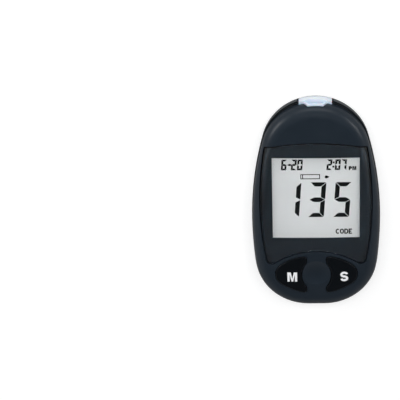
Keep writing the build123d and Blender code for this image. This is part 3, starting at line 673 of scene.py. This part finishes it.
def plate_piece(name, outlines, surface, finish, corner=0.0):
    """Thin plates from outlines in millimetres, as one piece that lies on a surface z(x, y)."""
    shape = bmesh.new()
    for outline in outlines:
        shape.faces.new([shape.verts.new((x * MM, y * MM, 0)) for x, y in outline])
    if corner:
        bmesh.ops.bevel(shape, geom=list(shape.verts), offset=corner * MM, segments=2, affect="VERTICES")
    bmesh.ops.remove_doubles(shape, verts=list(shape.verts), dist=weld_distance)
    bmesh.ops.triangulate(shape, faces=[face for face in shape.faces if len(face.verts) > 4])
    for vertex in shape.verts:
        vertex.co.z = surface(vertex.co.x, vertex.co.y)
    raised = bmesh.ops.extrude_face_region(shape, geom=list(shape.faces))
    bmesh.ops.translate(shape, verts=[g for g in raised["geom"] if isinstance(g, bmesh.types.BMVert)],
                        vec=(0, 0, plate_thickness))
    bmesh.ops.recalc_face_normals(shape, faces=list(shape.faces))
    mesh = bpy.data.meshes.new(name)
    shape.to_mesh(mesh)
    shape.free()
    mesh.materials.append(finish.material)
    piece = bpy.data.objects.new(name, mesh)
    bpy.context.scene.collection.objects.link(piece)
    print(name, "has", len(outlines), "plates")
    return piece


def digit_outlines(digit, left, low, width, height, thick, gap=segment_gap):
    """The lit segments of one leaning digit, in millimetres on the display."""
    outlines = []
    for letter in LIT[digit]:
        outline = drawn_in([Vector(p) for p in segment_outlines(width, height, thick)[letter]], gap / 2)
        outlines.append([(left + p.x + lean * p.y, low + p.y) for p in outline])
    return outlines


big_low, big_height, big_width, big_thick = -5.55, 18.6, 7.9, 2.4
big_digits = []
for digit, left in (("1", -16.05), ("3", -4.1), ("5", 8.0)):
    big_digits += digit_outlines(digit, left, big_low, big_width, big_height, big_thick)
reading = plate_piece("reading_digits", big_digits, on_display, dark_crystal, corner=0.18)

# %% [markdown]
# ## Small digits and marks
# Date and time use the same segments at a third of the size. The outline of a strip and a drop tell the user what to do
# next. They are plates too: the strip is a frame of thin bars, and the drop is a circle that tapers to a point.

# %% Date, time, strip and drop
def bar(left, low, right, high):
    """A rectangle, clockwise."""
    return [(left, low), (left, high), (right, high), (right, low)]


small_height, small_width, small_thick, small_gap = 5.6, 2.6, 0.98, 0.06
small_low = 19.3
date = (("6", -16.7), ("-", -13.95), ("2", -11.95), ("0", -9.05))
time = (("2", 5.0), ("0", 9.0), ("7", 11.9))
small_outlines = []
for digit, left in date + time:
    small_outlines += digit_outlines(digit, left, small_low, small_width, small_height, small_thick, small_gap)
colon_left, colon_dot = 7.85, 0.9
for dot_rise in (1.35, 3.55):
    x, y = colon_left + lean * dot_rise, small_low + dot_rise
    small_outlines.append(bar(x, y, x + colon_dot, y + colon_dot))
clock = plate_piece("date_and_time_digits", small_outlines, on_display, dark_crystal)

strip_left, strip_right, strip_low, strip_high, line = -7.4, 2.0, 14.6, 17.2, 0.4
electrode = strip_left + 0.9
marks = [
    bar(strip_left, strip_low, strip_right, strip_low + line),
    bar(strip_left, strip_high - line, strip_right, strip_high),
    bar(strip_left, strip_low + line, strip_left + line, strip_high - line),
    bar(strip_right - line, strip_low + line, strip_right, strip_high - line),
    bar(electrode, strip_low + line, electrode + line, strip_high - line),
]
drop_x, drop_y, drop_radius, drop_tip = 5.0, 15.75, 0.78, 6.5
drop = [(drop_tip, drop_y)]
for degrees in range(-60, -301, -20):
    angle = math.radians(degrees)
    drop.append((drop_x + drop_radius * math.cos(angle), drop_y + drop_radius * math.sin(angle)))
marks.append(drop)
symbols = plate_piece("strip_and_drop_marks", marks, on_display, dark_crystal)

# %% [markdown]
# ## Legends
# The afternoon mark and the word at the foot of the display are strokes of the same crystal. The two keys carry one
# white letter each, printed with a pad on the curved cap. A font would do, but its outlines come as long thin
# triangles. Here a letter is the path of a pen of even width, from straight runs and arcs, and a ribbon of small faces
# follows it. Only the M is drawn as an outline, because the pen would leave long spikes at its sharp turns.

# %% A pen for letters
def arc(centre, radii, start, end, steps=14):
    """Points along an ellipse, by angles in degrees."""
    angles = [math.radians(start + (end - start) * step / steps) for step in range(steps + 1)]
    return [(centre[0] + radii[0] * math.cos(a), centre[1] + radii[1] * math.sin(a)) for a in angles]


def pen_paths(letter, wide, high, half):
    """The middle of the pen's strokes, in a box of wide by high; half is half of the pen's width."""
    stem = [(0, -half), (0, high + half)]
    return {
        "C": [arc((wide / 2, high / 2), (wide / 2, high / 2), 48, 312)],
        "O": [arc((wide / 2, high / 2), (wide / 2, high / 2), 0, 360)],
        "D": [stem, [(half, high), *arc((wide * 0.4, high / 2), (wide * 0.6, high / 2), 90, -90), (half, 0)]],
        "E": [stem, [(half, high), (wide + half, high)], [(half, high / 2), (wide, high / 2)],
              [(half, 0), (wide + half, 0)]],
        "P": [stem, [(half, high), *arc((wide * 0.5, high * 0.74), (wide * 0.5, high * 0.26), 90, -90),
                     (half, high * 0.48)]],
        "S": [arc((wide / 2, high * 0.75), (wide / 2, high / 4), 12, 262)
              + arc((wide / 2, high * 0.25), (wide / 2, high / 4), 82, -168)],
    }[letter]


def ribbon(path, half):
    """Small faces along a pen's path."""
    sides = []
    for index, point in enumerate(path):
        before, after = path[max(index - 1, 0)], path[min(index + 1, len(path) - 1)]
        along = (Vector(after) - Vector(before)).normalized()
        across = Vector((-along.y, along.x)) * half
        sides.append((Vector(point) + across, Vector(point) - across))
    return [[left, next_left, next_right, right]
            for (left, right), (next_left, next_right) in zip(sides, sides[1:])]


def letter_outlines(letter, left, low, width, height, pen):
    """One letter in its box, in millimetres."""
    if letter == "M":
        stem, middle, valley, shoulder = pen * 0.85, width / 2, height * 0.30, height * 0.76
        right = [(middle, valley), (width - stem * 1.5, height), (width, height), (width, 0),
                 (width - stem, 0), (width - stem, shoulder), (middle + stem * 0.35, 0)]
        outlines = [right + [(width - x, y) for x, y in reversed(right[1:])]]
    else:
        half = pen / 2
        outlines = [[(x + half, y + half) for x, y in face] for path in
                    pen_paths(letter, width - pen, height - pen, half) for face in ribbon(path, half)]
    return [[(left + x, low + y) for x, y in outline] for outline in outlines]


def line_outlines(letters, low, height, pen):
    """Letters on one line, each given with its left edge and its width."""
    return [outline for letter, left, width in letters
            for outline in letter_outlines(letter, left, low, width, height, pen)]


print("the S takes", len(letter_outlines("S", 0, 0, 4, 6, 1.3)), "faces")

# %% Afternoon mark and word on the display
afternoon_outlines = line_outlines((("P", 15.75, 1.5), ("M", 17.45, 1.85)), low=19.2, height=2.1, pen=0.6)
afternoon = plate_piece("afternoon_mark", afternoon_outlines, on_display, dark_crystal)
word_letters = (("C", 9.35, 2.1), ("O", 11.35, 2.1), ("D", 13.55, 2.0), ("E", 15.65, 1.6))
word_outlines = line_outlines(word_letters, low=-14.5, height=2.75, pen=0.6)
code_word = plate_piece("code_mark", word_outlines, on_display, dark_crystal)

# %% White print on the keys
crown_top, crown_radius, key_proud = 20.0 * MM, 500.0 * MM, 0.5 * MM
white_ink = Finish("white_ink", ior=1.45)
ink_edge = white_ink.noise(0.25, detail=3)
white_ink.set(
    base_color=white_ink.mix(linear(244, 245, 246), linear(252, 252, 253), ink_edge),
    roughness=ink_edge * 0.2 + 0.4,
    normal=white_ink.relief(ink_edge, 0.002),
)


def on_key(x, y):
    """Height of the crowned keys, whose tops lie on one sphere."""
    return crown_top - crown_radius + math.sqrt((crown_radius + key_proud) ** 2 - x * x - y * y)


letter_m = letter_outlines("M", left=-14.15, low=-38.55, width=4.75, height=5.2, pen=1.3)
letter_s = letter_outlines("S", left=11.5, low=-38.5, width=3.95, height=5.35, pen=1.15)
memory_letter = plate_piece("memory_key_letter", letter_m, on_key, white_ink)
set_letter = plate_piece("set_key_letter", letter_s, on_key, white_ink)

# %% [markdown]
# ## What moves with what
# Every piece rides on a body of the mechanism. The marks of the display belong to the housing, and each letter goes in
# and out with its key.

# %% Ride on the bodies
display_pieces = (reading, clock, symbols, afternoon, code_word)
key_pieces = ((memory_letter, "memory_key"), (set_letter, "set_key"))
for piece in display_pieces:
    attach(piece, "housing")
for piece, body in key_pieces:
    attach(piece, body)
print("flat pieces:", len(display_pieces) + len(key_pieces))

# %% [markdown]
# ## Copies of the domes
# A silicone dome folds down under its key, which a rigid node can't do: the key would cut through it. A copy of each
# dome stands for its node on the housing, and the travel of its key is printed.

# %% Copies of the domes on the housing
for key in ("memory_key", "set_key"):
    stiff_dome = key + "_dome"
    foot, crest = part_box(stiff_dome)
    press = next(joint for joint in frame["joints"] if joint["name"] == key + "_press")
    travel = press["range_m"][1]
    dome = bpy.data.objects.new(key + "_soft_dome", nodes[stiff_dome].data.copy())
    bpy.context.scene.collection.objects.link(dome)
    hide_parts(stiff_dome)
    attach(dome, "housing")
    1 - travel / (crest[2] - foot[2])
    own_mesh(dome)
    print(dome.name, "flattens by mm:", round(travel / MM, 2), "of", round((crest[2] - foot[2]) / MM, 2))

# %% [markdown]
